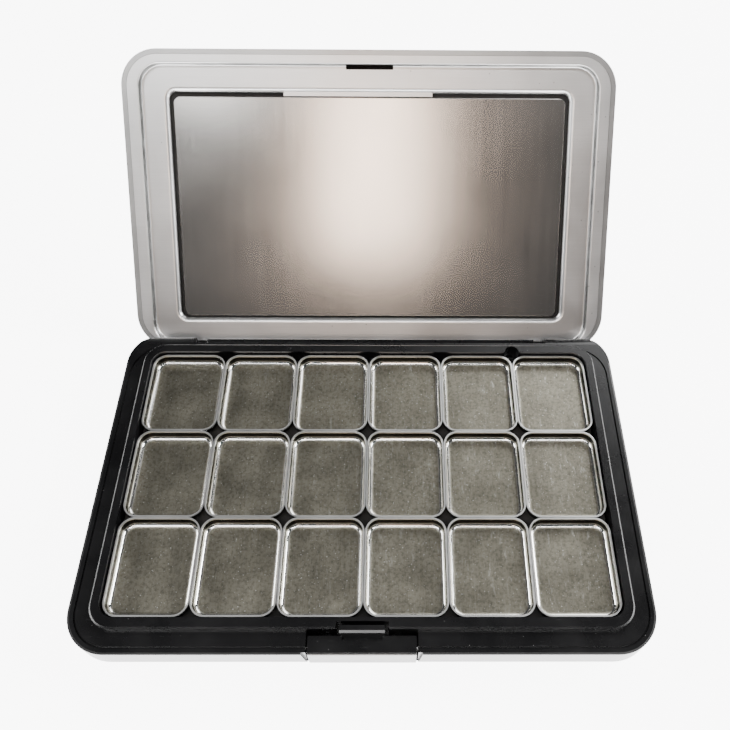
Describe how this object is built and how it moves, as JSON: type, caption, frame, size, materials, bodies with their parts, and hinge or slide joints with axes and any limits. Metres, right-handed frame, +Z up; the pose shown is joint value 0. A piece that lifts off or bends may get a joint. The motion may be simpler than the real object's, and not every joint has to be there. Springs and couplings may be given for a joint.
{
  "type": "watercolor pan set",
  "caption": "Shallow hinged case with removable metal paint pans on a magnetic sheet, a push-button latch and a lid with a lift-out mixing plate.",
  "frame": {"origin": "centre of the base's underside, on the table", "axes": "+X to the user's right, +Y towards the hinge, +Z up"},
  "size_m": [0.1082, 0.116, 0.0512],
  "materials": {
    "silver_case": "satin brushed",
    "black_frame": "satin moulded",
    "pan_steel": "bright pressed walls, satin floor",
    "plate_steel": "smooth satin",
    "magnet_rubber": "matte",
    "spring_steel": "bright drawn"
  },
  "bodies": {
    "base": {"base_shell": "silver_case", "base_frame": "black_frame", "magnetic_sheet": "magnet_rubber", "latch_spring": "spring_steel"},
    "lid": {"lid_shell": "silver_case", "lid_liner": "silver_case", "hinge_bar": "black_frame", "hinge_pins": "spring_steel", "plate_pad": "magnet_rubber"},
    "latch": {"latch_button": "black_frame", "latch_face": "silver_case"},
    "plate": {"mixing_plate": "plate_steel"},
    "pan_r1c1_body": {"pan_r1c1": "pan_steel"},
    "pan_r1c2_body": {"pan_r1c2": "pan_steel"},
    "pan_r1c3_body": {"pan_r1c3": "pan_steel"},
    "pan_r1c4_body": {"pan_r1c4": "pan_steel"},
    "pan_r1c5_body": {"pan_r1c5": "pan_steel"},
    "pan_r1c6_body": {"pan_r1c6": "pan_steel"},
    "pan_r2c1_body": {"pan_r2c1": "pan_steel"},
    "pan_r2c2_body": {"pan_r2c2": "pan_steel"},
    "pan_r2c3_body": {"pan_r2c3": "pan_steel"},
    "pan_r2c4_body": {"pan_r2c4": "pan_steel"},
    "pan_r2c5_body": {"pan_r2c5": "pan_steel"},
    "pan_r2c6_body": {"pan_r2c6": "pan_steel"},
    "pan_r3c1_body": {"pan_r3c1": "pan_steel"},
    "pan_r3c2_body": {"pan_r3c2": "pan_steel"},
    "pan_r3c3_body": {"pan_r3c3": "pan_steel"},
    "pan_r3c4_body": {"pan_r3c4": "pan_steel"},
    "pan_r3c5_body": {"pan_r3c5": "pan_steel"},
    "pan_r3c6_body": {"pan_r3c6": "pan_steel"}
  },
  "joints": [
    {"name": "lid_hinge", "type": "hinge", "parent": "base", "child": "lid", "pos_m": [0, 0.0321, 0.004], "axis": [-1, 0, 0], "range_deg": [-132, 0]},
    {"name": "latch_push", "type": "slide", "parent": "base", "child": "latch", "axis": [0, 1, 0], "range_m": [0, 0.0007], "stiffness_N_per_m": 600, "springref_m": -0.0008, "deforming": ["latch_spring"]},
    {"name": "plate_lift", "type": "slide", "parent": "lid", "child": "plate", "axis": [0, -0.7431, 0.6691], "range_m": [0, 0.012]},
    {"name": "pan_r1c1_lift", "type": "slide", "parent": "base", "child": "pan_r1c1_body", "axis": [0, 0, 1], "range_m": [0, 0.015]},
    {"name": "pan_r1c2_lift", "type": "slide", "parent": "base", "child": "pan_r1c2_body", "axis": [0, 0, 1], "range_m": [0, 0.015]},
    {"name": "pan_r1c3_lift", "type": "slide", "parent": "base", "child": "pan_r1c3_body", "axis": [0, 0, 1], "range_m": [0, 0.015]},
    {"name": "pan_r1c4_lift", "type": "slide", "parent": "base", "child": "pan_r1c4_body", "axis": [0, 0, 1], "range_m": [0, 0.015]},
    {"name": "pan_r1c5_lift", "type": "slide", "parent": "base", "child": "pan_r1c5_body", "axis": [0, 0, 1], "range_m": [0, 0.015]},
    {"name": "pan_r1c6_lift", "type": "slide", "parent": "base", "child": "pan_r1c6_body", "axis": [0, 0, 1], "range_m": [0, 0.015]},
    {"name": "pan_r2c1_lift", "type": "slide", "parent": "base", "child": "pan_r2c1_body", "axis": [0, 0, 1], "range_m": [0, 0.015]},
    {"name": "pan_r2c2_lift", "type": "slide", "parent": "base", "child": "pan_r2c2_body", "axis": [0, 0, 1], "range_m": [0, 0.015]},
    {"name": "pan_r2c3_lift", "type": "slide", "parent": "base", "child": "pan_r2c3_body", "axis": [0, 0, 1], "range_m": [0, 0.015]},
    {"name": "pan_r2c4_lift", "type": "slide", "parent": "base", "child": "pan_r2c4_body", "axis": [0, 0, 1], "range_m": [0, 0.015]},
    {"name": "pan_r2c5_lift", "type": "slide", "parent": "base", "child": "pan_r2c5_body", "axis": [0, 0, 1], "range_m": [0, 0.015]},
    {"name": "pan_r2c6_lift", "type": "slide", "parent": "base", "child": "pan_r2c6_body", "axis": [0, 0, 1], "range_m": [0, 0.015]},
    {"name": "pan_r3c1_lift", "type": "slide", "parent": "base", "child": "pan_r3c1_body", "axis": [0, 0, 1], "range_m": [0, 0.015]},
    {"name": "pan_r3c2_lift", "type": "slide", "parent": "base", "child": "pan_r3c2_body", "axis": [0, 0, 1], "range_m": [0, 0.015]},
    {"name": "pan_r3c3_lift", "type": "slide", "parent": "base", "child": "pan_r3c3_body", "axis": [0, 0, 1], "range_m": [0, 0.015]},
    {"name": "pan_r3c4_lift", "type": "slide", "parent": "base", "child": "pan_r3c4_body", "axis": [0, 0, 1], "range_m": [0, 0.015]},
    {"name": "pan_r3c5_lift", "type": "slide", "parent": "base", "child": "pan_r3c5_body", "axis": [0, 0, 1], "range_m": [0, 0.015]},
    {"name": "pan_r3c6_lift", "type": "slide", "parent": "base", "child": "pan_r3c6_body", "axis": [0, 0, 1], "range_m": [0, 0.015]}
  ]
}
